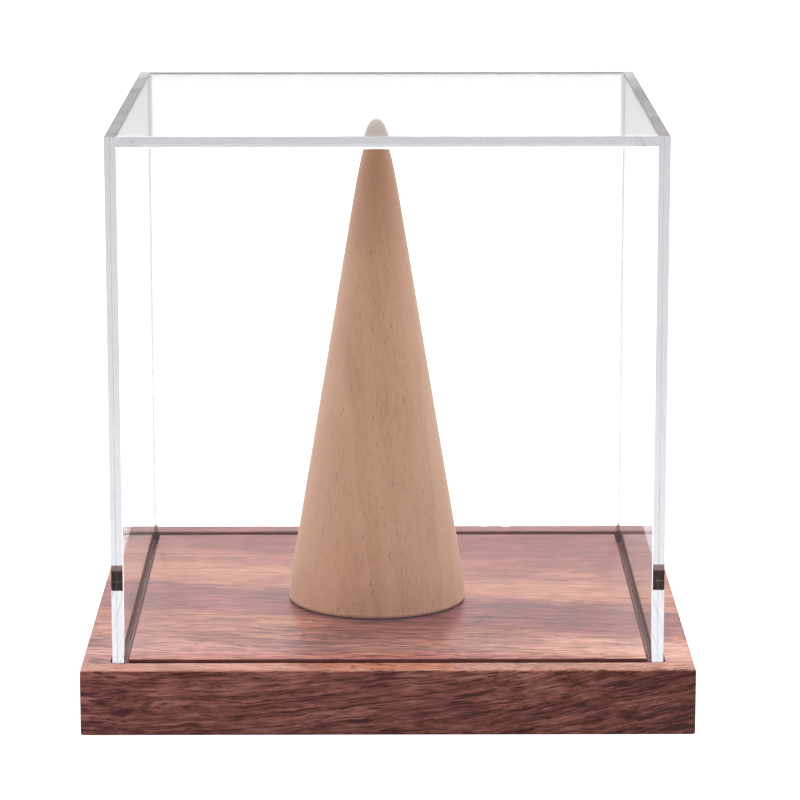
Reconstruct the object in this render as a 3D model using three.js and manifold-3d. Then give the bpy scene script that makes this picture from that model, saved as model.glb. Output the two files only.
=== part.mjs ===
// A small display case: a clear acrylic cover, open underneath, that drops into a groove routed
// round the top of a solid walnut base. A turned wooden ring cone stands loose on the field inside.
// Units are millimetres, +Z is up and the front of the case faces -Y. The origin is on the surface
// that the case stands on, under the middle of the base.

import * as THREE from 'three';
import { mergeVertices } from 'three/addons/utils/BufferGeometryUtils.js';
import Module from 'manifold-3d';

// ---- Driving dimensions -------------------------------------------------------------------------

// The base: one square walnut board, its edges eased, standing on four inset rubber pads.
const BASE_SIDE = 110;
const BASE_THICKNESS = 12;
const EDGE_EASE = 0.4;
const FOOT_STANDOFF = 0.5;

// The cover: five sheets bonded into an open box that is as wide as it is deep.
const COVER_SIDE = 99;
const COVER_HEIGHT = 97;
const SHEET = 2;

// The groove that the cover's lower edge drops into.
const GROOVE_DEPTH = 2;
const GROOVE_OUTER_GAP = 0.4;
const GROOVE_INNER_GAP = 0.8;
const GROOVE_CORNER_RADIUS = 1;

// The pads under the base, each glued into a shallow round recess near a corner.
const FOOT_RADIUS = 4;
const FOOT_THICKNESS = 1.5;
const FOOT_RECESS_CLEARANCE = 0.25;
const FOOT_INSET = 11;

// The ring cone: straight sides that swell out a little above the foot, a soft nose and a non-slip
// pad let into its underside.
const CONE_OFFSET_X = -2;
const CONE_OFFSET_Y = -3.5;
const CONE_BASE_RADIUS = 16.85;
const CONE_HEIGHT = 90.2;
const CONE_TAPER = 0.1664; // radius lost per millimetre of height
const CONE_SWELL = 0.35;
const CONE_SWELL_HEIGHT = 8;
const CONE_NOSE_LENGTH = 14.5;
const CONE_FOOT_ROUND = 0.5;
const CONE_STANDOFF = 0.25;
const CONE_PAD_RADIUS = 11.5;
const CONE_PAD_THICKNESS = 1;
const CONE_PAD_CLEARANCE = 0.3;

const ROUND_SEGMENTS = 64;
const FOOT_SEGMENTS = 40;

// ---- Levels and sizes worked out from them ------------------------------------------------------

const baseTop = FOOT_STANDOFF + BASE_THICKNESS;
const grooveFloor = baseTop - GROOVE_DEPTH;
const grooveOuterSide = COVER_SIDE + 2 * GROOVE_OUTER_GAP;
const fieldSide = COVER_SIDE - 2 * (SHEET + GROOVE_INNER_GAP);
const footRecessDepth = FOOT_THICKNESS - FOOT_STANDOFF;
const footCentre = BASE_SIDE / 2 - FOOT_INSET;
const conePadRecessDepth = CONE_PAD_THICKNESS - CONE_STANDOFF;

// ---- Materials ----------------------------------------------------------------------------------

const walnut = new THREE.MeshStandardMaterial({ color: 0x8a5a4a, roughness: 0.6, metalness: 0 });
const paleWood = new THREE.MeshStandardMaterial({ color: 0xc49a7e, roughness: 0.7, metalness: 0 });
const rubber = new THREE.MeshStandardMaterial({ color: 0x26231f, roughness: 0.85, metalness: 0 });
const acrylic = new THREE.MeshStandardMaterial({
  color: 0xf2f6f8,
  roughness: 0.03,
  metalness: 0,
  transparent: true,
  opacity: 0.2,
});

// ---- Solids -------------------------------------------------------------------------------------

const wasm = await Module();
wasm.setup();

// A closed geometry as a manifold-3d solid: only its merged positions are needed.
function toSolid(geometry) {
  const bare = geometry.index ? geometry.toNonIndexed() : geometry.clone();
  bare.deleteAttribute('normal');
  bare.deleteAttribute('uv');
  const merged = mergeVertices(bare, 1e-4);
  return new wasm.Manifold(
    new wasm.Mesh({
      numProp: 3,
      vertProperties: merged.attributes.position.array,
      triVerts: new Uint32Array(merged.index.array),
    }),
  );
}

function toGeometry(solid) {
  const mesh = solid.getMesh();
  const geometry = new THREE.BufferGeometry();
  geometry.setAttribute('position', new THREE.BufferAttribute(mesh.vertProperties, 3));
  geometry.setIndex(new THREE.BufferAttribute(mesh.triVerts, 1));
  const flat = geometry.toNonIndexed();
  flat.computeVertexNormals();
  return flat;
}

// A square outline centred on the origin, with quarter-circle corners where a radius is given.
function squareOutline(side, radius = 0, outline = new THREE.Shape()) {
  const half = side / 2;
  const straight = half - radius;
  const corners = [
    { x: straight, y: -straight, start: -Math.PI / 2 },
    { x: straight, y: straight, start: 0 },
    { x: -straight, y: straight, start: Math.PI / 2 },
    { x: -straight, y: -straight, start: Math.PI },
  ];
  outline.moveTo(-straight, -half);
  for (const { x, y, start } of corners) {
    if (radius > 0) {
      outline.absarc(x, y, radius, start, start + Math.PI / 2, false);
    } else {
      outline.lineTo(x, y);
    }
  }
  outline.closePath();
  return outline;
}

// A disc or plug standing on z = 0.
function upright(radius, height, segments) {
  return new THREE.CylinderGeometry(radius, radius, height, segments)
    .rotateX(Math.PI / 2)
    .translate(0, 0, height / 2);
}

function named(name, geometry, material, x = 0, y = 0, z = 0) {
  const mesh = new THREE.Mesh(geometry, material);
  mesh.name = name;
  mesh.position.set(x, y, z);
  return mesh;
}

// ---- Base ---------------------------------------------------------------------------------------

const footPlaces = [
  { name: 'foot_front_left', x: -footCentre, y: -footCentre },
  { name: 'foot_front_right', x: footCentre, y: -footCentre },
  { name: 'foot_rear_left', x: -footCentre, y: footCentre },
  { name: 'foot_rear_right', x: footCentre, y: footCentre },
];

// The board with its outer edges eased, standing on z = 0.
function boardGeometry() {
  return new THREE.ExtrudeGeometry(squareOutline(BASE_SIDE - 2 * EDGE_EASE), {
    depth: BASE_THICKNESS - 2 * EDGE_EASE,
    bevelThickness: EDGE_EASE,
    bevelSize: EDGE_EASE,
    bevelSegments: 1,
  }).translate(0, 0, EDGE_EASE);
}

// What the router takes out: a square ring, open at the top of the board. Its outer corners keep
// the cutter's radius and its inner ones are sharp.
function grooveGeometry() {
  const ring = squareOutline(grooveOuterSide, GROOVE_CORNER_RADIUS);
  ring.holes.push(squareOutline(fieldSide, 0, new THREE.Path()));
  return new THREE.ExtrudeGeometry(ring, {
    depth: 2 * GROOVE_DEPTH,
    bevelEnabled: false,
    curveSegments: 8,
  }).translate(0, 0, BASE_THICKNESS - GROOVE_DEPTH);
}

function makeBaseBlock() {
  let block = toSolid(boardGeometry()).subtract(toSolid(grooveGeometry()));
  const recess = upright(FOOT_RADIUS + FOOT_RECESS_CLEARANCE, 2 * footRecessDepth, FOOT_SEGMENTS);
  for (const { x, y } of footPlaces) {
    block = block.subtract(toSolid(recess.clone().translate(x, y, -footRecessDepth)));
  }
  return named('base_block', toGeometry(block), walnut, 0, 0, FOOT_STANDOFF);
}

function makeBase() {
  const base = new THREE.Group();
  base.add(makeBaseBlock());
  for (const { name, x, y } of footPlaces) {
    base.add(named(name, upright(FOOT_RADIUS, FOOT_THICKNESS, FOOT_SEGMENTS), rubber, x, y));
  }
  return base;
}

// ---- Cover --------------------------------------------------------------------------------------

// Five flat sheets with butt joints. The group stands on the groove's floor. The front and rear
// sheets run the cover's full width, the side sheets fit between them, and the top sheet lies
// inside all four, so that every joint is at an edge of the cover.
function makeCover() {
  const cover = new THREE.Group();
  cover.position.z = grooveFloor;
  const wallCentre = (COVER_SIDE - SHEET) / 2;
  const inside = COVER_SIDE - 2 * SHEET;
  const middle = COVER_HEIGHT / 2;
  const across = new THREE.BoxGeometry(COVER_SIDE, SHEET, COVER_HEIGHT);
  const along = new THREE.BoxGeometry(SHEET, inside, COVER_HEIGHT);
  const lid = new THREE.BoxGeometry(inside, inside, SHEET);
  cover.add(
    named('front_panel', across, acrylic, 0, -wallCentre, middle),
    named('rear_panel', across.clone(), acrylic, 0, wallCentre, middle),
    named('left_panel', along, acrylic, -wallCentre, 0, middle),
    named('right_panel', along.clone(), acrylic, wallCentre, 0, middle),
    named('top_panel', lid, acrylic, 0, 0, COVER_HEIGHT - SHEET / 2),
  );
  return cover;
}

// ---- Ring cone ----------------------------------------------------------------------------------

// The cone's half outline, from the middle of the pad recess round the foot and up to the tip.
function coneOutline() {
  const sideRadius = (height) => CONE_BASE_RADIUS + CONE_SWELL - CONE_TAPER * height;
  const noseStart = CONE_HEIGHT - CONE_NOSE_LENGTH;
  const noseShoulder = CONE_HEIGHT - 1.5;
  const recessRadius = CONE_PAD_RADIUS + CONE_PAD_CLEARANCE;
  const outline = new THREE.Path();
  outline.moveTo(0, conePadRecessDepth);
  outline.lineTo(recessRadius, conePadRecessDepth);
  outline.lineTo(recessRadius, 0);
  outline.lineTo(CONE_BASE_RADIUS - CONE_FOOT_ROUND, 0);
  outline.absarc(
    CONE_BASE_RADIUS - CONE_FOOT_ROUND, CONE_FOOT_ROUND, CONE_FOOT_ROUND, -Math.PI / 2, 0, false,
  );
  outline.quadraticCurveTo(
    sideRadius(CONE_SWELL_HEIGHT / 2), CONE_SWELL_HEIGHT / 2,
    sideRadius(CONE_SWELL_HEIGHT), CONE_SWELL_HEIGHT,
  );
  outline.lineTo(sideRadius(noseStart), noseStart);
  outline.bezierCurveTo(
    sideRadius(noseShoulder), noseShoulder,
    sideRadius(CONE_HEIGHT) * 0.7, CONE_HEIGHT,
    0, CONE_HEIGHT,
  );
  return outline.getPoints(12);
}

function makeCone() {
  const cone = new THREE.Group();
  cone.position.set(CONE_OFFSET_X, CONE_OFFSET_Y, baseTop);
  const turned = new THREE.LatheGeometry(coneOutline(), ROUND_SEGMENTS).rotateX(Math.PI / 2);
  const pad = upright(CONE_PAD_RADIUS, CONE_PAD_THICKNESS, FOOT_SEGMENTS);
  cone.add(named('ring_cone', turned, paleWood, 0, 0, CONE_STANDOFF));
  cone.add(named('cone_pad', pad, rubber));
  return cone;
}

// ---- The display case ---------------------------------------------------------------------------

const displayCase = new THREE.Group();
displayCase.add(makeBase(), makeCover(), makeCone());

export default displayCase;
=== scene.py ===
"""Looks for a small display case: a clear acrylic cover in the groove of a walnut base, over a ring cone.

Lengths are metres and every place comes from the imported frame, but the materials are drawn in
millimetres. The base's grain runs along X and the front of the case faces -Y. The cover is shown as five
bonded sheets: where two sheets meet, their faces hold a clear cement that doesn't bend light, so the
cover looks like one piece of acrylic.
"""

import itertools
import math

import bmesh
import bpy
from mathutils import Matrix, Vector, noise


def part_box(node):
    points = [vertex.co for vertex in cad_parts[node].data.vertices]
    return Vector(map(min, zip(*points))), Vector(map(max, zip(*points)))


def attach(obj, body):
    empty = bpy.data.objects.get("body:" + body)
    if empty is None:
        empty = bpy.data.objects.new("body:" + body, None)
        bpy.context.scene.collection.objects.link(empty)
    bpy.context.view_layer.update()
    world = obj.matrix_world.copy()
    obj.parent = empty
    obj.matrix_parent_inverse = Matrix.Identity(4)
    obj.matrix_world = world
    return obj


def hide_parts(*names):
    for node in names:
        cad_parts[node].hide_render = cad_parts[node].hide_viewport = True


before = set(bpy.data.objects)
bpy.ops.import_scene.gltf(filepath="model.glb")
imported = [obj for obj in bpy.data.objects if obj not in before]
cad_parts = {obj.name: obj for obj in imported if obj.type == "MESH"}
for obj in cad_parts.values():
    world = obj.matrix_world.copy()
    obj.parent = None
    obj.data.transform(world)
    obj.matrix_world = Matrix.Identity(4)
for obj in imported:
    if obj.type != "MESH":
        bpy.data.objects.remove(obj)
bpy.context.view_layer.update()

MM = 0.001

# ---- Sizes of the fine detail ---------------------------------------------------------------------

GROOVE_OUTER_GAP = 0.4 * MM
GROOVE_INNER_GAP = 0.8 * MM
GROOVE_CORNER_RADIUS = 1.0 * MM
GROOVE_FLOOR_CLEARANCE = 0.05 * MM
BOARD_EASE = 0.35 * MM
GROOVE_EASE = 0.12 * MM
FIELD_CORNER_RADIUS = 0.05 * MM
BOARD_STEP = 0.5 * MM
CHIP_DEPTH = 0.55 * MM
CHIP_REACH = 0.9 * MM
CHIP_WAVES_PER_METRE = 420
CHIP_FINE_WAVES_PER_METRE = 1300
CHIP_THRESHOLD = 0.28
SHEET_ARRIS = 0.05 * MM
FRONT_BEAD = 0.15 * MM
REAR_BEAD = 0.45 * MM
FRONT_LID_BEAD = 0.35 * MM
REAR_LID_BEAD = 0.20 * MM
FOOT_RECESS_CLEARANCE = 0.25 * MM
FOOT_EASE = 0.3 * MM
CONE_PAD_EASE = 0.15 * MM
DIMPLE_DEPTH = 0.12 * MM
DIMPLE_SHARE_OF_RADIUS = 0.62

CONE_TAPER = 0.1664
CONE_SWELL = 0.35 * MM
CONE_SWELL_HEIGHT = 8 * MM
CONE_NOSE_LENGTH = 14.5 * MM
CONE_FOOT_ROUND = 0.5 * MM
CONE_PAD_CLEARANCE = 0.3 * MM
CONE_SHOULDER = 1.5 * MM
TURNING_RIPPLE = 0.018 * MM

# How pale the walnut is at places across the board, from its front to its rear, in millimetres.
WALNUT_BANDS = (
    (-66, 0.35),
    (-54, 0.50),
    (-48, 0.62),
    (-38, 0.62),
    (-32, 0.95),
    (-20, 0.85),
    (-16, 0.12),
    (0, 0.10),
    (4, 0.90),
    (18, 0.95),
    (22, 0.45),
    (27, 0.75),
    (33, 0.30),
    (60, 0.20),
)

# The middle and the reach of a darker patch on the walnut, in millimetres.
DARK_PATCH_PLACE = (0, -33, 0)
DARK_PATCH_REACH = (26, 11)

# How much red, green and blue the front of the board's top gains: a painted reflection, the pale veil the
# top shows there.
PAINTED_VEIL_GAIN = (0.27, 0.52, 0.62)

# The share of red, green and blue light that is left after this length of acrylic.
ACRYLIC_KEPT = (0.50, 0.50, 0.52)
ACRYLIC_KEPT_LENGTH = 100 * MM
ACRYLIC_INDEX = 1.49

# The share of light let in where a wall stands in the groove and where a bead runs down a wall: painted
# shade that dims both.
GROOVE_SHADE_SKIN = 0.50
BEAD_SHADE_SKIN = 0.58

# ---- The studio's light and the camera, in Blender's own units ------------------------------------

BACKGROUND_STRENGTH = 1.7
BACKDROP_STRENGTH = 1.90
FLOOR_GREY = 0.42
FLOOR_SCATTER = 0.25
FLOOR_REACH = 6.0

CAMERA_PLACE = (-0.0008, -0.6764, 0.1911)
CAMERA_LOOKS_DOWN = math.radians(11.758)
CAMERA_ROLL = math.radians(0.027)
CAMERA_TURN = math.radians(-0.278)
CAMERA_LENS = 162.8
CAMERA_SENSOR = 36

# ---- CAD nodes, the materials of a sheet's faces, and sockets -------------------------------------

PANELS = ("top_panel", "front_panel", "rear_panel", "left_panel", "right_panel")
FEET = ("foot_front_left", "foot_front_right", "foot_rear_left", "foot_rear_right")
# The last of a sheet's materials is painted shade for the part of a wall in the groove.
CLEAR, BONDED, SCRAPED, GROOVE_SHADED = range(4)

# Where a mix node has its colour sockets, which follow those for numbers and vectors.
MIX_COLOUR_A = 6
MIX_COLOUR_B = 7
MIX_COLOUR_RESULT = 2


# ---- Mesh helpers ---------------------------------------------------------------------------------

def finish_mesh(name, bm, materials, smooth_below=math.radians(35)):
    """Turns a closed bmesh into an object, smooth except across edges sharper than an angle."""
    bmesh.ops.recalc_face_normals(bm, faces=bm.faces)
    mesh = bpy.data.meshes.new(name)
    bm.to_mesh(mesh)
    bm.free()
    for material in materials:
        mesh.materials.append(material)
    if smooth_below:
        mesh.shade_smooth()
        mesh.set_sharp_from_angle(angle=smooth_below)
    piece = bpy.data.objects.new(name, mesh)
    bpy.context.scene.collection.objects.link(piece)
    return piece


def stand_for(piece, node, body):
    """The piece takes a CAD node's place on its body, and the node is hidden."""
    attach(piece, body)
    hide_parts(node)


def join_loops(bm, loops):
    """Quads between each closed loop of vertices and the next, as one list of faces."""
    faces = []
    for lower, upper in zip(loops, loops[1:]):
        count = len(lower)
        for i in range(count):
            j = (i + 1) % count
            faces.append(bm.faces.new((lower[i], lower[j], upper[j], upper[i])))
    return faces


def loop_edges(bm, loop):
    """The edges along a closed loop of vertices."""
    return [bm.edges.get((a, b)) or bm.edges.new((a, b)) for a, b in zip(loop, loop[1:] + loop[:1])]


def quarter_arc(radius, start, steps):
    """Offsets along a quarter circle from a start angle, as (across, up) pairs."""
    angles = [start + math.pi / 2 * i / steps for i in range(steps + 1)]
    return [(radius * math.cos(a), radius * math.sin(a)) for a in angles]


def lathe(name, profile, centre, segments, materials):
    """A turned piece: the profile is (radius, height) pairs that start and end on the axis."""
    bm = bmesh.new()
    turns = [2 * math.pi * i / segments for i in range(segments)]
    loops = []
    for radius, height in profile[1:-1]:
        ring = [
            bm.verts.new((centre.x + radius * math.cos(t), centre.y + radius * math.sin(t), height))
            for t in turns
        ]
        loops.append(ring)
    join_loops(bm, loops)
    for loop, (_, height) in ((loops[0], profile[0]), (loops[-1], profile[-1])):
        pole = bm.verts.new((centre.x, centre.y, height))
        for i in range(segments):
            bm.faces.new((pole, loop[i], loop[(i + 1) % segments]))
    return finish_mesh(name, bm, materials)


# ---- Node helpers ---------------------------------------------------------------------------------

def add_node(tree, kind, inputs=None, **settings):
    """One node with its settings and inputs. An input is a value or another node's output."""
    node = tree.nodes.new(kind)
    for name, value in settings.items():
        setattr(node, name, value)
    for name, value in (inputs or {}).items():
        if isinstance(value, bpy.types.NodeSocket):
            tree.links.new(value, node.inputs[name])
        else:
            node.inputs[name].default_value = value
    return node


def new_material(name):
    """An empty material, its node tree, its output node and a point in millimetres to draw on."""
    material = bpy.data.materials.new(name)
    material.use_nodes = True
    tree = material.node_tree
    tree.nodes.clear()
    output = add_node(tree, "ShaderNodeOutputMaterial")
    return material, tree, output, point_in_millimetres(tree)


def point_in_millimetres(tree):
    """The point being shaded, in the part's frame."""
    where = add_node(tree, "ShaderNodeTexCoord").outputs["Object"]
    return scaled(tree, where, (1000, 1000, 1000))


def math_node(tree, operation, a, b=0.0, clamp=False):
    """The result of one sum on two numbers."""
    return add_node(tree, "ShaderNodeMath", {0: a, 1: b}, operation=operation, use_clamp=clamp).outputs[0]


def vector_node(tree, operation, a, b):
    """The result of one sum on two vectors."""
    return add_node(tree, "ShaderNodeVectorMath", {0: a, 1: b}, operation=operation).outputs[0]


def length_of(tree, vector):
    """The length of a vector."""
    return add_node(tree, "ShaderNodeVectorMath", {0: vector}, operation="LENGTH").outputs["Value"]


def axes_of(tree, vector):
    """The three numbers of a vector."""
    return add_node(tree, "ShaderNodeSeparateXYZ", {0: vector}).outputs


def scaled(tree, point, factors):
    """The point with each of its numbers times a factor."""
    return vector_node(tree, "MULTIPLY", point, factors)


def noise_node(tree, point, detail=3.0, rough=0.5, output="Fac"):
    """Noise at a point, about one wave to each unit."""
    values = {"Vector": point, "Scale": 1.0, "Detail": detail, "Roughness": rough}
    return add_node(tree, "ShaderNodeTexNoise", values).outputs[output]


def drifted(tree, moved, point, factors, reach):
    """Moves one point by smooth noise drawn at another, by up to half the reach each way."""
    drift = noise_node(tree, scaled(tree, point, factors), 2.0, 0.5, "Color")
    drift = scaled(tree, vector_node(tree, "SUBTRACT", drift, (0.5, 0.5, 0.5)), reach)
    return vector_node(tree, "ADD", moved, drift)


def line_noise(tree, value, detail=3.0, rough=0.55):
    """Noise along one number, for layers such as growth rings."""
    values = {"W": value, "Scale": 1.0, "Detail": detail, "Roughness": rough}
    return add_node(tree, "ShaderNodeTexNoise", values, noise_dimensions="1D").outputs["Fac"]


def spread(tree, value, low, high, to_low=0.0, to_high=1.0):
    """Maps low..high to a new range, held at its ends."""
    inputs = {"Value": value, "From Min": low, "From Max": high, "To Min": to_low, "To Max": to_high}
    return add_node(tree, "ShaderNodeMapRange", inputs, clamp=True).outputs["Result"]


def ramp(tree, value, stops):
    """A colour ramp from (position, colour) stops."""
    node = add_node(tree, "ShaderNodeValToRGB", {"Fac": value})
    elements = node.color_ramp.elements
    while len(elements) < len(stops):
        elements.new(0.5)
    for element, (position, colour) in zip(elements, stops):
        element.position = position
        element.color = (*colour, 1.0)
    return node.outputs["Color"]


def mix_colour(tree, share, a, b):
    """A colour between two. Each of them is three numbers or another node's output."""
    a, b = (c if isinstance(c, bpy.types.NodeSocket) else (*c, 1.0) for c in (a, b))
    inputs = {0: share, MIX_COLOUR_A: a, MIX_COLOUR_B: b}
    return add_node(tree, "ShaderNodeMix", inputs, data_type="RGBA").outputs[MIX_COLOUR_RESULT]


def blended(tree, share, a, b):
    """A number between a and b."""
    return add_node(tree, "ShaderNodeMix", {"Factor": share, "A": a, "B": b}).outputs[0]


def weighted(tree, *pairs):
    """The sum of values, each times its weight."""
    total = 0.0
    for value, weight in pairs:
        total = add_node(
            tree, "ShaderNodeMath", {0: value, 1: weight, 2: total}, operation="MULTIPLY_ADD"
        ).outputs[0]
    return total


def seen_directly(tree):
    """1 where the camera sees a surface itself or through clear sheets, 0 in reflections and in
    scattered light."""
    path = add_node(tree, "ShaderNodeLightPath").outputs
    turned = math_node(tree, "ADD", path["Glossy Depth"], path["Diffuse Depth"])
    return math_node(tree, "SUBTRACT", 1.0, turned, clamp=True)


def finish_surface(tree, output, colour, roughness, height, bump, **more):
    """A principled surface with a bump whose distance is in metres."""
    normal = add_node(
        tree, "ShaderNodeBump", {"Height": height, "Strength": 1.0, "Distance": bump}
    ).outputs["Normal"]
    inputs = {"Base Color": colour, "Roughness": roughness, "Normal": normal, **more}
    shader = add_node(tree, "ShaderNodeBsdfPrincipled", inputs)
    tree.links.new(shader.outputs[0], output.inputs["Surface"])


# ---- Materials ------------------------------------------------------------------------------------

def walnut_grain(tree, point):
    """The point in grain space: the fibres drift and curl a little, and rise to the right in front."""
    x, y, z = axes_of(tree, point)
    rise = weighted(tree, (x, 0.12), (math_node(tree, "MULTIPLY", x, x), 0.0012))
    rise = math_node(tree, "MULTIPLY", rise, spread(tree, y, -54, -44, 1.0, 0.0))
    across = weighted(tree, (y, 1.0), (x, 0.05))
    level = weighted(tree, (z, 1.0), (rise, -1.0))
    grain = add_node(tree, "ShaderNodeCombineXYZ", {0: x, 1: across, 2: level}).outputs[0]
    grain = drifted(tree, grain, point, (0.02, 0.03, 0.05), (0, 9, 4))
    return drifted(tree, grain, point, (0.14, 0.10, 0.30), (0, 0.9, 1.3))


def near_front(tree, point, facing, near, far):
    """1 on the board's top in front of one place, falling to 0 behind another."""
    on_top = spread(tree, facing[2], 0.3, 0.9)
    y = axes_of(tree, point)[1]
    return math_node(tree, "MULTIPLY", on_top, spread(tree, y, near, far, 1.0, 0.0))


def walnut_bands(tree, grain, streaks):
    """The broad bands along the board, from 0 where the wood is rosy to 1 where it is tan and pale."""
    x, y, z = axes_of(tree, grain)
    across = weighted(tree, (y, 1.0), (x, 0.16), (z, 0.3), (streaks, 12.0), (1.0, -6.0))
    front, rear = WALNUT_BANDS[0][0], WALNUT_BANDS[-1][0]
    stops = [((place - front) / (rear - front), (pale,) * 3) for place, pale in WALNUT_BANDS]
    return ramp(tree, spread(tree, across, front, rear), stops)


def side_figure(tree, point, grain, facing, streaks, pale):
    """The figure of the board's sides: broken wild lines, and growth rings across the two ends."""
    x, y, z = axes_of(tree, grain)
    broken = noise_node(tree, scaled(tree, point, (0.30, 0.5, 1.1)), 4.0, 0.6)
    right = spread(tree, x, 0, 50)
    rings = line_noise(tree, weighted(tree, (z, 0.9), (y, 0.09), (broken, 1.5)))
    wild = weighted(tree, (streaks, 0.5), (broken, 1.2), (right, -0.24), (1.0, -0.83))
    ringed = weighted(tree, (rings, 0.9), (broken, 0.4), (pale, -0.3), (1.0, -0.66))
    end_grain = spread(tree, math_node(tree, "ABSOLUTE", facing[0]), 0.3, 0.9)
    return blended(tree, end_grain, wild, ringed)


def dark_streaks(tree, point, grain):
    """Fine dark streaks, stronger towards the front, and a darker patch in the front half's middle."""
    y = axes_of(tree, grain)[1]
    field = noise_node(tree, scaled(tree, grain, (0.10, 1.05, 2.6)), 3.0, 0.55)
    lines = spread(tree, field, 0.56, 0.64)
    lines = math_node(tree, "MULTIPLY", lines, spread(tree, y, -30, 0, 1.0, 0.35))
    place = vector_node(tree, "SUBTRACT", scaled(tree, point, (1, 1, 0)), DARK_PATCH_PLACE)
    distance = length_of(tree, scaled(tree, place, [1 / reach for reach in DARK_PATCH_REACH] + [0]))
    patch = spread(tree, distance, 0.35, 1.25, 1.0, 0.0)
    patch = math_node(tree, "MULTIPLY", patch, spread(tree, field, 0.40, 0.58, 0.35, 1.0))
    return weighted(tree, (lines, 0.42), (patch, 0.62))


def walnut_pores(tree, grain, upright):
    """Short dark pores, strongest on the sides and, on the top, towards the front."""
    y = axes_of(tree, grain)[1]
    field = noise_node(tree, scaled(tree, grain, (0.24, 2.2, 3.8)), 2.0, 0.5)
    on_top = spread(tree, y, -35, -5, 0.60, 0.20)
    depth = spread(tree, upright, 0, 1, on_top, 0.80)
    return math_node(tree, "MULTIPLY", spread(tree, field, 0.56, 0.66), depth)


def walnut_colour(tree, tone, pale):
    """The wood's colour from dark to light, rosy or tan."""
    rosy = ramp(tree, tone, (
        (0.05, (0.062, 0.016, 0.016)),
        (0.50, (0.232, 0.059, 0.062)),
        (0.95, (0.440, 0.150, 0.155)),
    ))
    tan = ramp(tree, tone, (
        (0.05, (0.085, 0.022, 0.016)),
        (0.50, (0.300, 0.103, 0.070)),
        (0.95, (0.560, 0.250, 0.160)),
    ))
    return mix_colour(tree, pale, rosy, tan)


def make_walnut():
    """Oiled walnut. Its grain runs along X and its rings lie nearly flat, so the top shows broad
    bands, rosy and tan by turns, and the front shows fine wild lines."""
    material, tree, output, point = new_material("walnut")
    grain = walnut_grain(tree, point)
    streaks = noise_node(tree, scaled(tree, grain, (0.023, 0.55, 1.4)), 4.0, 0.6)
    fibres = noise_node(tree, scaled(tree, grain, (0.07, 1.6, 3.6)), 4.0, 0.65)
    cloud = noise_node(tree, scaled(tree, point, (0.06, 0.09, 0.20)), 3.0, 0.55)
    facing = axes_of(tree, add_node(tree, "ShaderNodeNewGeometry").outputs["True Normal"])
    upright = spread(tree, facing[2], 0.3, 0.9, 1.0, 0.0)
    rim = near_front(tree, point, facing, -50, -49)
    pale = blended(tree, rim, walnut_bands(tree, grain, streaks), 0.95)
    wild = side_figure(tree, point, grain, facing, streaks, pale)
    wild = math_node(tree, "MULTIPLY", upright, wild)
    dark = dark_streaks(tree, point, grain)
    tone = weighted(
        tree, (streaks, 0.9), (fibres, 1.4), (cloud, 0.8), (pale, 0.32), (wild, 1.0), (dark, -1.0),
        (1.0, -1.16),
    )
    pores = walnut_pores(tree, grain, upright)
    colour = mix_colour(tree, pores, walnut_colour(tree, tone, pale), (0.040, 0.012, 0.012))
    # Painted reflection: the front of the top, less its rim, is made paler and bluer to stand for the veil
    # it reflects.
    painted_veil = math_node(tree, "SUBTRACT", near_front(tree, point, facing, -40, -28), rim)
    gain = vector_node(tree, "ADD", (1, 1, 1), scaled(tree, PAINTED_VEIL_GAIN, painted_veil))
    colour = scaled(tree, colour, gain)
    roughness = weighted(tree, (fibres, 0.22), (pores, 0.25), (1.0, 0.21))
    height = weighted(tree, (pores, -1.0), (fibres, 0.6), (streaks, 0.4))
    finish_surface(tree, output, colour, roughness, height, 0.035 * MM, **{"Specular IOR Level": 0.21})
    return material


def make_groove_wood():
    """The same wood where the router cut across it, rougher and unfinished, and darker: painted shade for
    the light the narrow groove loses.
    """
    material, tree, output, point = new_material("walnut_groove")
    fibres = noise_node(tree, scaled(tree, point, (0.3, 2.6, 2.6)), 4.0, 0.6)
    fuzz = noise_node(tree, scaled(tree, point, (4, 4, 4)), 2.0, 0.5)
    # Painted shade: these colours are darker than the board's to stand for the dim light down in the
    # groove.
    colour = ramp(tree, weighted(tree, (fibres, 0.7), (fuzz, 0.3)), (
        (0.3, (0.130, 0.043, 0.038)),
        (0.7, (0.260, 0.100, 0.088)),
    ))
    height = weighted(tree, (fibres, 1.0), (fuzz, 0.6))
    finish_surface(tree, output, colour, 0.9, height, 0.05 * MM, **{"Specular IOR Level": 0.08})
    return material


def beech_colour(tree, point, grain, fibres):
    """Pale beech, in soft upright bands."""
    x, y, _ = axes_of(tree, grain)
    ring = weighted(tree, (x, 0.8), (y, 0.6))
    bands = line_noise(tree, math_node(tree, "MULTIPLY", ring, 0.32))
    cloud = noise_node(tree, scaled(tree, point, (0.09, 0.09, 0.05)), 3.0, 0.5)
    tone = weighted(tree, (bands, 0.5), (fibres, 0.5), (cloud, 0.4))
    return ramp(tree, spread(tree, tone, 0.45, 0.95), (
        (0.0, (0.67, 0.325, 0.180)),
        (0.45, (0.84, 0.450, 0.268)),
        (1.0, (0.95, 0.580, 0.380)),
    ))


def handled_tip_and_sheen(tree, colour, z):
    """The beech darker towards the tip, which is handled most, and paler where it turns away, a painted
    sheen.
    """
    worn = math_node(tree, "ADD", spread(tree, z, 15, 85, 0.0, 0.42), spread(tree, z, 78, 100, 0.0, 0.50))
    worn = math_node(tree, "MINIMUM", worn, 0.85)
    colour = mix_colour(tree, worn, colour, (0.40, 0.160, 0.072))
    # Painted sheen: the colour turns paler where the surface turns away from the view.
    edge = add_node(tree, "ShaderNodeLayerWeight", {"Blend": 0.35}).outputs["Facing"]
    return mix_colour(tree, math_node(tree, "MULTIPLY", edge, 0.65), colour, (0.97, 0.720, 0.570))


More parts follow.
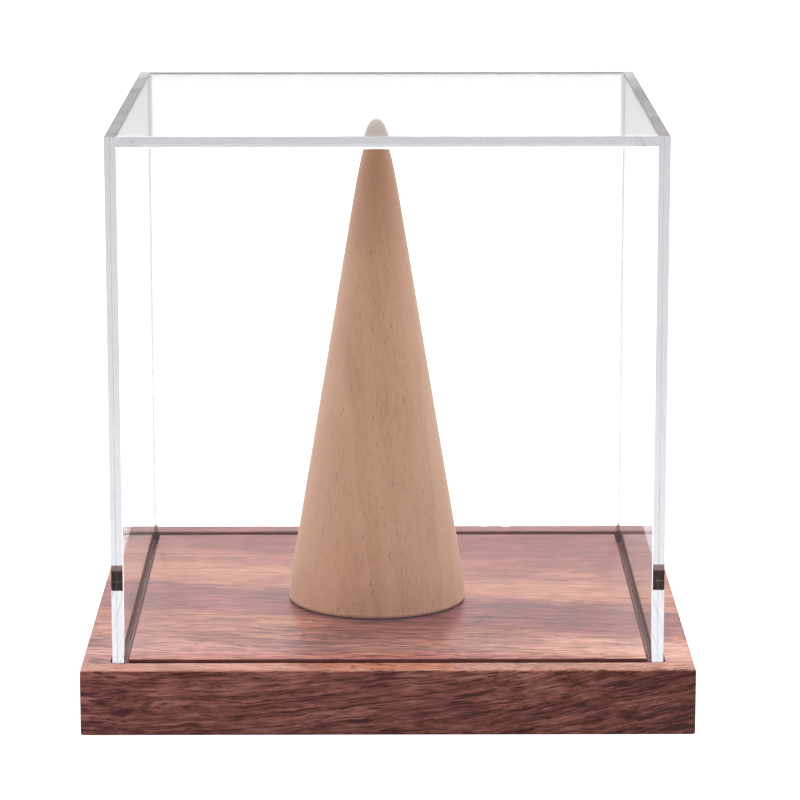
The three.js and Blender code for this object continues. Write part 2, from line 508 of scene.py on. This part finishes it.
def make_cone_wood():
    """Pale turned beech, its grain upright, with short dark flecks and fine turning lines."""
    material, tree, output, point = new_material("cone_wood")
    grain = drifted(tree, point, point, (0.05, 0.05, 0.02), (6, 6, 0))
    z = axes_of(tree, grain)[2]
    fibres = noise_node(tree, scaled(tree, grain, (2.4, 2.4, 0.09)), 4.0, 0.6)
    fleck_field = noise_node(tree, scaled(tree, grain, (2.8, 2.8, 0.55)), 1.0, 0.5)
    flecks = spread(tree, fleck_field, 0.66, 0.76)
    colour = beech_colour(tree, point, grain, fibres)
    colour = mix_colour(tree, math_node(tree, "MULTIPLY", flecks, 0.55), colour, (0.27, 0.13, 0.08))
    colour = handled_tip_and_sheen(tree, colour, z)
    turning = line_noise(tree, math_node(tree, "MULTIPLY", z, 2.2))
    roughness = weighted(tree, (fibres, 0.15), (turning, 0.1), (1.0, 0.42))
    height = weighted(tree, (fibres, 0.6), (flecks, -0.7), (turning, 0.8))
    finish_surface(tree, output, colour, roughness, height, 0.03 * MM)
    return material


def make_acrylic(name, skin):
    """Clear cast acrylic. It bends light, and it takes a little grey out of a ray with each
    millimetre inside, so a sheet seen edge-on is grey while its face is clear. Its skin can dim
    what enters. Lamps and scattered light pass straight through, dimmed by what two faces reflect."""
    material, tree, output, _ = new_material(name)
    path = add_node(tree, "ShaderNodeLightPath").outputs
    leaving = add_node(tree, "ShaderNodeNewGeometry").outputs["Backfacing"]
    steps = math_node(tree, "DIVIDE", path["Ray Length"], ACRYLIC_KEPT_LENGTH)
    steps = math_node(tree, "MULTIPLY", steps, leaving)
    # A skin below 1 dims what enters: painted shade for the groove and for the beads down the walls.
    entry = blended(tree, leaving, skin, 1.0)
    channels = [
        math_node(tree, "MULTIPLY", entry, math_node(tree, "POWER", share, steps))
        for share in ACRYLIC_KEPT
    ]
    colour = add_node(tree, "ShaderNodeCombineColor", dict(enumerate(channels))).outputs[0]
    glass = add_node(tree, "ShaderNodeBsdfGlass", {"Color": colour, "Roughness": 0.0, "IOR": ACRYLIC_INDEX})
    through = add_node(tree, "ShaderNodeBsdfTransparent", {"Color": (0.95, 0.95, 0.95, 1)})
    straight = math_node(tree, "MAXIMUM", path["Is Shadow Ray"], path["Is Diffuse Ray"])
    surface = add_node(
        tree, "ShaderNodeMixShader", {0: straight, 1: glass.outputs[0], 2: through.outputs[0]}
    )
    tree.links.new(surface.outputs[0], output.inputs["Surface"])
    return material


def make_scraped_edge(clear):
    """A sheet's scraped edge: clear acrylic under fine scratches that catch the light in patches,
    most at the rear."""
    material = clear.copy()
    material.name = "acrylic_edge"
    tree = material.node_tree
    output = next(node for node in tree.nodes if node.type == "OUTPUT_MATERIAL")
    under = output.inputs["Surface"].links[0].from_socket
    point = point_in_millimetres(tree)
    patches = noise_node(tree, scaled(tree, point, (0.07, 0.07, 0.07)), 3.0, 0.6)
    y = axes_of(tree, point)[1]
    share = spread(tree, patches, 0.35, 0.70, 0.05, 0.15)
    share = math_node(tree, "MULTIPLY", share, spread(tree, y, 35, 48, 1.0, 2.8))
    scratched = add_node(tree, "ShaderNodeBsdfDiffuse", {"Color": (0.86, 0.83, 0.90, 1)})
    surface = add_node(tree, "ShaderNodeMixShader", {0: share, 1: under, 2: scratched.outputs[0]})
    tree.links.new(surface.outputs[0], output.inputs["Surface"])
    return material


def make_cement():
    """The solvent cement between two sheets, as clear as they are."""
    material, tree, output, _ = new_material("cement")
    surface = add_node(tree, "ShaderNodeBsdfTransparent", {"Color": (0.995, 0.995, 0.995, 1)})
    tree.links.new(surface.outputs[0], output.inputs["Surface"])
    return material


def make_rubber(name, colour, pebbles_per_mm):
    """Dark rubber or foam with a fine pebbled skin."""
    material, tree, output, point = new_material(name)
    pebbles = noise_node(tree, scaled(tree, point, (pebbles_per_mm,) * 3), 3.0, 0.6)
    dust = noise_node(tree, scaled(tree, point, (0.6, 0.6, 0.6)), 3.0, 0.5)
    light = tuple(c * 1.8 + 0.01 for c in colour)
    shade = mix_colour(tree, spread(tree, dust, 0.45, 0.75), colour, light)
    roughness = weighted(tree, (pebbles, 0.25), (1.0, 0.62))
    finish_surface(tree, output, shade, roughness, pebbles, 0.06 * MM)
    return material


# ---- Base -----------------------------------------------------------------------------------------

def square_points(half, radius, steps):
    """A square round the origin, evenly stepped along its sides, with rounded corners."""
    straight = half - radius
    corner_steps = 6
    points = []
    for turn in range(4):
        c, s = round(math.cos(turn * math.pi / 2)), round(math.sin(turn * math.pi / 2))
        side = [(half, -straight + 2 * straight * i / steps) for i in range(steps + 1)]
        corner = quarter_arc(radius, 0, corner_steps)[1:-1]
        side += [(straight + x, straight + y) for x, y in corner]
        points += [(x * c - y * s, x * s + y * c) for x, y in side]
    return points


def board_levels(board_low, board_high, cover_low):
    """The board's skin from under its edge to the field, as (half width, corner radius, height)."""
    half = board_high.x
    ease = BOARD_EASE
    groove_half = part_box("front_panel")[1].x + GROOVE_OUTER_GAP
    field_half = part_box("right_panel")[0].x - GROOVE_INNER_GAP
    floor = cover_low - GROOVE_FLOOR_CLEARANCE
    top = board_high.z
    levels = []
    for across, up in quarter_arc(ease, -math.pi / 2, 4):
        levels.append((half - ease + across, ease, board_low.z + ease + up))
    side_steps = 8
    rise = top - board_low.z - 2 * ease
    for i in range(1, side_steps):
        levels.append((half, ease, board_low.z + ease + rise * i / side_steps))
    for across, up in quarter_arc(ease, 0, 4):
        levels.append((half - ease + across, ease, top - ease + up))
    rim = half - ease - (groove_half + GROOVE_EASE)
    for i in range(1, 4):
        levels.append((half - ease - rim * i / 4, ease, top))
    for across, up in quarter_arc(GROOVE_EASE, math.pi / 2, 3):
        levels.append((groove_half + GROOVE_EASE + across, GROOVE_CORNER_RADIUS, top - GROOVE_EASE + up))
    levels.append((groove_half, GROOVE_CORNER_RADIUS, floor))
    levels.append((field_half, FIELD_CORNER_RADIUS, floor))
    for across, up in quarter_arc(GROOVE_EASE, 0, 3):
        levels.append((field_half - GROOVE_EASE + across, FIELD_CORNER_RADIUS, top - GROOVE_EASE + up))
    return levels


def chipped(point, half, top):
    """Moves a point near the board's top arris in and down where the wood has chipped."""
    x, y, z = point
    from_arris = math.hypot(half - max(abs(x), abs(y)), top - z)
    near = max(0.0, 1.0 - from_arris / CHIP_REACH)
    broad = noise.noise(Vector((x, y, z)) * CHIP_WAVES_PER_METRE)
    fine = noise.noise(Vector((y, x, z)) * CHIP_FINE_WAVES_PER_METRE)
    depth = CHIP_DEPTH * near * max(0.0, broad + 0.5 * fine - CHIP_THRESHOLD)
    inward = Vector((x, y, 0)).normalized() * depth
    return Vector((x - inward.x, y - inward.y, z - depth * 0.9))


def recess_loops(bm, centre, radius, low, depth, segments=48):
    """The two loops of a round recess in the board's underside."""
    turns = [2 * math.pi * i / segments for i in range(segments)]
    return [
        [
            bm.verts.new((centre.x + radius * math.cos(t), centre.y + radius * math.sin(t), z))
            for t in turns
        ]
        for z in (low, low + depth)
    ]


def make_board(walnut, groove_wood):
    """The walnut board in one closed skin: its sides, its groove and field, and the pads' recesses."""
    low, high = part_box("base_block")
    cover_low, cover_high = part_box("front_panel")
    groove_mouth = cover_high.x + GROOVE_OUTER_GAP + GROOVE_EASE
    bm = bmesh.new()
    steps = round((high.x - low.x) / BOARD_STEP)
    loops = []
    for half, radius, z in board_levels(low, high, cover_low.z):
        points = [Vector((x, y, z)) for x, y in square_points(half, radius, steps)]
        loops.append([bm.verts.new(chipped(p, high.x, high.z)) for p in points])
    for face in join_loops(bm, loops):
        middle = face.calc_center_median()
        in_groove = max(abs(middle.x), abs(middle.y)) < groove_mouth and middle.z < high.z - GROOVE_EASE
        face.material_index = int(in_groove)
    under_edges = loop_edges(bm, loops[0])
    for foot in FEET:
        foot_low, foot_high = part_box(foot)
        centre = (foot_low + foot_high) / 2
        radius = (foot_high.x - foot_low.x) / 2 + FOOT_RECESS_CLEARANCE
        mouth, ceiling = recess_loops(bm, centre, radius, low.z, foot_high.z - low.z)
        join_loops(bm, [mouth, ceiling])
        bm.faces.new(ceiling)
        under_edges += loop_edges(bm, mouth)
    bmesh.ops.triangle_fill(bm, edges=under_edges, use_beauty=True)
    bmesh.ops.triangle_fill(bm, edges=loop_edges(bm, loops[-1]), use_beauty=True)
    board = finish_mesh("walnut_board", bm, [walnut, groove_wood])
    stand_for(board, "base_block", "base")


# ---- Cover ----------------------------------------------------------------------------------------

def inside(box, point, slack=1e-6):
    """Whether a point is in a box or on its skin."""
    low, high = box
    return all(low[i] - slack <= point[i] <= high[i] + slack for i in range(3))


def placed(axis, level, a, b):
    """A point from its place along an axis and its places along the other two."""
    place = [a, b]
    place.insert(axis, level)
    return tuple(place)


def cuts_along(axis, box, others):
    """Where a sheet's faces are divided along an axis, so that each joint is a face of its own. The
    places are rounded, so that equal ones match."""
    low, high = box[0][axis], box[1][axis]
    marks = {round(v, 7) for v in (low, high)}
    for other in others:
        marks |= {round(end[axis], 7) for end in other if low < end[axis] < high}
    return sorted(marks)


def sheet_faces(bm, box, others):
    """A box with its faces divided at the joints and at the board's top, returning the faces that
    touch another sheet."""
    cuts = [cuts_along(axis, box, others) for axis in (0, 1)]
    cuts.append(cuts_along(2, box, others + [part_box("base_block")]))
    verts = {}
    joints = []
    for axis in range(3):
        across, along = [cuts[other] for other in range(3) if other != axis]
        cells = list(itertools.product(zip(across, across[1:]), zip(along, along[1:])))
        for level, ((a0, a1), (b0, b1)) in itertools.product((cuts[axis][0], cuts[axis][-1]), cells):
            corners = [placed(axis, level, a, b) for a, b in ((a0, b0), (a1, b0), (a1, b1), (a0, b1))]
            for corner in corners:
                verts[corner] = verts.get(corner) or bm.verts.new(corner)
            face = bm.faces.new([verts[corner] for corner in corners])
            if any(inside(other, face.calc_center_median()) for other in others):
                joints.append(face)
    return joints


def make_sheet(name, box, others, materials):
    """One sheet of the cover, its free arrises polished and its bonded faces flat. Its walls' top
    edges are scraped, and the part of a wall that stands in the groove is dimmed with painted shade."""
    bm = bmesh.new()
    joints = sheet_faces(bm, box, others)
    bmesh.ops.recalc_face_normals(bm, faces=bm.faces)
    board_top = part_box("base_block")[1].z
    for face in bm.faces:
        if face.normal.z > 0.9 and name != "top_sheet":
            face.material_index = SCRAPED
        # Painted shade: the part of a wall in the groove gets a skin that dims what is seen through it.
        elif face.calc_center_median().z < board_top and abs(face.normal.z) < 0.1:
            face.material_index = GROOVE_SHADED
    for face in joints:
        face.material_index = BONDED
    arrises = [
        edge for edge in bm.edges
        if edge.calc_face_angle() > math.radians(45)
        and not any(face.material_index == BONDED for face in edge.link_faces)
    ]
    bmesh.ops.bevel(
        bm, geom=arrises, offset=SHEET_ARRIS, offset_type="OFFSET", segments=3, profile=0.5,
        affect="EDGES", clamp_overlap=True,
    )
    return finish_mesh(name, bm, materials, smooth_below=None)


def bead_places():
    """Each bead of cement as (axis, size, corner, directions, start, stop): the corner and the two
    directions the bead spreads in lie across the axis, and the start and stop along it."""
    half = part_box("right_panel")[0].x
    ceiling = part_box("top_panel")[0].z
    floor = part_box("front_panel")[0].z
    places = []
    for end, size, lid_size in ((-1, FRONT_BEAD, FRONT_LID_BEAD), (1, REAR_BEAD, REAR_LID_BEAD)):
        for side in (-1, 1):
            places.append((2, size, (side * half, end * half), (-side, -end), floor, ceiling - lid_size))
        places.append((0, lid_size, (end * half, ceiling), (-end, -1), size - half, half - size))
    return places


def bead_box(axis, size, corner, ways, start, stop):
    """The box round a bead, which says where the sheets are joined to it."""
    low, high = Vector(), Vector()
    low[axis], high[axis] = start, stop
    for other, edge, way in zip([a for a in range(3) if a != axis], corner, ways):
        low[other], high[other] = sorted((edge, edge + way * size))
    return low, high


def bead_outline(size, corner, ways):
    """A bead's section: two flat legs joined by a hollow curve."""
    steps = 8
    outline = [corner]
    for i in range(steps + 1):
        angle = math.pi / 2 * i / steps
        reach = (size * (1 - math.sin(angle)), size * (1 - math.cos(angle)))
        outline.append(tuple(edge + way * r for edge, way, r in zip(corner, ways, reach)))
    return outline


def make_beads(shaded_bead, cement, clear):
    """The thin beads of cement that creep into the cover's inner corners: dimmed with painted shade where
    they run down the walls, and clear under the lid."""
    materials = [shaded_bead, cement, clear]
    bm = bmesh.new()
    for axis, size, corner, ways, start, stop in bead_places():
        outline = bead_outline(size, corner, ways)
        rings = [[bm.verts.new(placed(axis, level, a, b)) for a, b in outline] for level in (start, stop)]
        sides = join_loops(bm, rings)
        ends = [bm.faces.new(ring) for ring in rings]
        for face in sides + ends:
            face.material_index = materials.index(shaded_bead if axis == 2 else clear)
        for flat in (sides[0], sides[-1]):
            flat.material_index = materials.index(cement)
    beads = finish_mesh("cement_beads", bm, materials)
    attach(beads, "cover")


def make_cover():
    """The cover's five sheets and the beads of cement between them."""
    acrylic = make_acrylic("acrylic", 1.0)
    cement = make_cement()
    # Painted shade: the walls' part in the groove is dimmed.
    groove_shaded = make_acrylic("acrylic_groove_shade", GROOVE_SHADE_SKIN)
    materials = {CLEAR: acrylic, BONDED: cement, SCRAPED: make_scraped_edge(acrylic), GROOVE_SHADED: groove_shaded}
    boxes = {node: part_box(node) for node in PANELS}
    beads = [bead_box(*place) for place in bead_places()]
    for node, box in boxes.items():
        others = [boxes[other] for other in PANELS if other != node] + beads
        sheet = make_sheet(node.replace("_panel", "_sheet"), box, others, materials.values())
        stand_for(sheet, node, "cover")
    # Painted shade: the beads down the walls let in only part of the light, so they show as grey lines.
    make_beads(make_acrylic("cement_bead", BEAD_SHADE_SKIN), cement, acrylic)


# ---- Ring cone, pad and feet ----------------------------------------------------------------------

def bezier(points, t):
    """A point on a cubic curve."""
    a, b, c, d = (Vector(p) for p in points)
    s = 1 - t
    return a * s ** 3 + b * (3 * s * s * t) + c * (3 * s * t * t) + d * t ** 3


def ripple(height):
    """How far the turning tool's path strays at a height."""
    slow = noise.noise(Vector((0, 0, height / MM * 0.35)))
    fast = noise.noise(Vector((5, 0, height / MM * 1.6)))
    return TURNING_RIPPLE * (0.6 * slow + 0.7 * fast)


def cone_profile():
    """The cone's outline from the middle of its recess, round its foot and up to its tip, as (radius,
    height) pairs, and its centre. The side is a straight taper that swells a little at the foot."""
    low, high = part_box("ring_cone")
    pad_low, pad_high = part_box("cone_pad")
    base_radius = (high.x - low.x) / 2
    recess = (pad_high.x - pad_low.x) / 2 + CONE_PAD_CLEARANCE
    height = high.z - low.z

    def side(h):
        below = max(0.0, 1 - h / CONE_SWELL_HEIGHT)
        return base_radius + CONE_SWELL * (1 - below ** 2) - CONE_TAPER * h

    profile = [(0, pad_high.z), (recess * 0.5, pad_high.z), (recess, pad_high.z), (recess, low.z)]
    for across, up in quarter_arc(CONE_FOOT_ROUND, -math.pi / 2, 5):
        profile.append((base_radius - CONE_FOOT_ROUND + across, low.z + CONE_FOOT_ROUND + up))
    nose_start = height - CONE_NOSE_LENGTH
    steps = 210
    for i in range(1, steps + 1):
        h = CONE_FOOT_ROUND + (nose_start - CONE_FOOT_ROUND) * i / steps
        profile.append((side(h) + ripple(h), low.z + h))
    shoulder = height - CONE_SHOULDER
    curve = (
        (side(nose_start), nose_start),
        (side(shoulder), shoulder),
        (side(height) * 0.7, height),
        (0, height),
    )
    nose_steps = 36
    for i in range(1, nose_steps + 1):
        radius, h = bezier(curve, i / nose_steps)
        profile.append((radius, low.z + h))
    return profile, (low + high) / 2


def make_cone(wood, foam):
    """The turned cone and the non-slip disc under it."""
    profile, centre = cone_profile()
    cone = lathe("turned_cone", profile, centre, segments=192, materials=[wood])
    stand_for(cone, "ring_cone", "cone")
    pad = make_disc("non_slip_disc", "cone_pad", CONE_PAD_EASE, segments=96, material=foam)
    stand_for(pad, "cone_pad", "cone")


def make_disc(name, node, ease, segments, material):
    """A moulded disc with rounded edges and a shallow round dimple in its underside."""
    low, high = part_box(node)
    radius = (high.x - low.x) / 2
    dimple = radius * DIMPLE_SHARE_OF_RADIUS
    ceiling = low.z + DIMPLE_DEPTH
    profile = [(0, ceiling), (dimple - DIMPLE_DEPTH, ceiling), (dimple, low.z)]
    for across, up in quarter_arc(ease, -math.pi / 2, 4):
        profile.append((radius - ease + across, low.z + ease + up))
    for across, up in quarter_arc(ease, 0, 4):
        profile.append((radius - ease + across, high.z - ease + up))
    profile.append((0, high.z))
    return lathe(name, profile, (low + high) / 2, segments, [material])


def make_feet(rubber):
    """The four rubber pads under the base."""
    for node in FEET:
        pad = make_disc(node.replace("foot", "pad"), node, FOOT_EASE, segments=64, material=rubber)
        stand_for(pad, node, "base")


# ---- Studio ---------------------------------------------------------------------------------------

def horizon_level(tree, ahead):
    """How bright the far floor and the horizon look in reflections, by how far they lie ahead."""
    return spread(tree, ahead, -0.8, 0.2, 0.25, 0.75)


def reflected_backdrop(tree, height):
    """The studio's rear in reflections: darker low down, but less so after a second reflection."""
    turns = add_node(tree, "ShaderNodeLightPath").outputs["Glossy Depth"]
    low = spread(tree, turns, 1, 2, 0.50, 1.45)
    return blended(tree, spread(tree, height, 0.14, 0.23), low, BACKDROP_STRENGTH)


def make_world():
    """A white studio, darker behind the camera, so that wood seen from the front has shape."""
    world = bpy.data.worlds.new("studio")
    bpy.context.scene.world = world
    world.use_nodes = True
    tree = world.node_tree
    tree.nodes.clear()
    _, ahead, height = axes_of(tree, add_node(tree, "ShaderNodeTexCoord").outputs["Generated"])
    sides = spread(tree, ahead, -0.8, 0.2, 0.25, 0.58)
    at_rear = spread(tree, ahead, 0.75, 0.93)
    reflected = blended(tree, at_rear, sides, reflected_backdrop(tree, height))
    reflected = blended(tree, spread(tree, height, 0, 0.1), horizon_level(tree, ahead), reflected)
    strength = blended(tree, seen_directly(tree), reflected, BACKGROUND_STRENGTH)
    light = add_node(tree, "ShaderNodeBackground", {"Color": (1, 1, 1, 1), "Strength": strength})
    output = add_node(tree, "ShaderNodeOutputWorld")
    tree.links.new(light.outputs[0], output.inputs["Surface"])


def floor_glow(tree, point):
    """How much light the floor gives of itself: a little in reflections, more where it is seen."""
    y = axes_of(tree, point)[1]
    distance = length_of(tree, point)
    near = math_node(tree, "MULTIPLY", spread(tree, y, -120, -20), spread(tree, y, 60, 330, 1.15, 0.88))
    far = horizon_level(tree, math_node(tree, "DIVIDE", y, distance))
    far = math_node(tree, "SUBTRACT", far, FLOOR_SCATTER)
    reflected = blended(tree, spread(tree, distance, 700, 2500), near, far)
    path = add_node(tree, "ShaderNodeLightPath").outputs
    seen = spread(tree, path["Transmission Depth"], 0, 1, 1.2, 2.1)
    seen = math_node(tree, "MULTIPLY", seen_directly(tree), seen)
    not_scattered = math_node(tree, "SUBTRACT", 1.0, path["Is Diffuse Ray"])
    return math_node(tree, "MULTIPLY", math_node(tree, "MAXIMUM", reflected, seen), not_scattered)


def make_floor():
    """A pale floor that glows a little, brightest round the case, so that it reads as white."""
    material, tree, output, point = new_material("floor_white")
    matte = add_node(tree, "ShaderNodeBsdfDiffuse", {"Color": (FLOOR_GREY, FLOOR_GREY, FLOOR_GREY, 1)})
    inputs = {"Color": (1, 1, 1, 1), "Strength": floor_glow(tree, point)}
    shine = add_node(tree, "ShaderNodeEmission", inputs)
    both = add_node(tree, "ShaderNodeAddShader", {0: matte.outputs[0], 1: shine.outputs[0]})
    tree.links.new(both.outputs[0], output.inputs["Surface"])
    corners = [(x * FLOOR_REACH, y * FLOOR_REACH, 0) for x, y in ((-1, -1), (1, -1), (1, 1), (-1, 1))]
    bm = bmesh.new()
    bm.faces.new([bm.verts.new(corner) for corner in corners])
    finish_mesh("floor", bm, [material], smooth_below=None)


def make_softbox(name, place, target, size, energy):
    """A wide soft lamp that faces a target and isn't seen by the camera."""
    lamp = bpy.data.lights.new(name, "AREA")
    lamp.shape = "RECTANGLE"
    lamp.size, lamp.size_y = size
    lamp.energy = energy
    softbox = bpy.data.objects.new(name, lamp)
    softbox.location = place
    softbox.rotation_euler = (Vector(target) - Vector(place)).to_track_quat("-Z", "Y").to_euler()
    softbox.visible_camera = False
    bpy.context.scene.collection.objects.link(softbox)


def make_camera():
    """A long lens a little above the case, looking down at it from the front."""
    data = bpy.data.cameras.new("camera")
    data.sensor_width = CAMERA_SENSOR
    data.lens = CAMERA_LENS
    data.clip_start = 0.01
    camera = bpy.data.objects.new("camera", data)
    camera.location = CAMERA_PLACE
    camera.rotation_euler = (math.pi / 2 - CAMERA_LOOKS_DOWN, CAMERA_ROLL, CAMERA_TURN)
    bpy.context.scene.collection.objects.link(camera)
    bpy.context.scene.camera = camera


def set_light_paths():
    """Enough bounces for light that runs the length of a sheet, and clean pictures at few samples."""
    scene = bpy.context.scene
    scene.view_settings.view_transform = "Standard"
    cycles = scene.cycles
    cycles.max_bounces = 48
    cycles.diffuse_bounces = 4
    cycles.glossy_bounces = 32
    cycles.transmission_bounces = 32
    cycles.transparent_max_bounces = 48
    cycles.sample_clamp_indirect = 4.0
    cycles.use_denoising = True
    cycles.denoiser = "OPENIMAGEDENOISE"


# ---- The scene ------------------------------------------------------------------------------------

make_board(make_walnut(), make_groove_wood())
make_cover()
make_cone(make_cone_wood(), make_rubber("pad_foam", (0.020, 0.016, 0.014), pebbles_per_mm=3.5))
make_feet(make_rubber("foot_rubber", (0.012, 0.011, 0.011), pebbles_per_mm=2.5))
make_world()
make_floor()
make_softbox("softbox_above", place=(0, 0.1, 0.95), target=(0, 0, 0.05), size=(1.1, 0.9), energy=13)
make_camera()
set_light_paths()
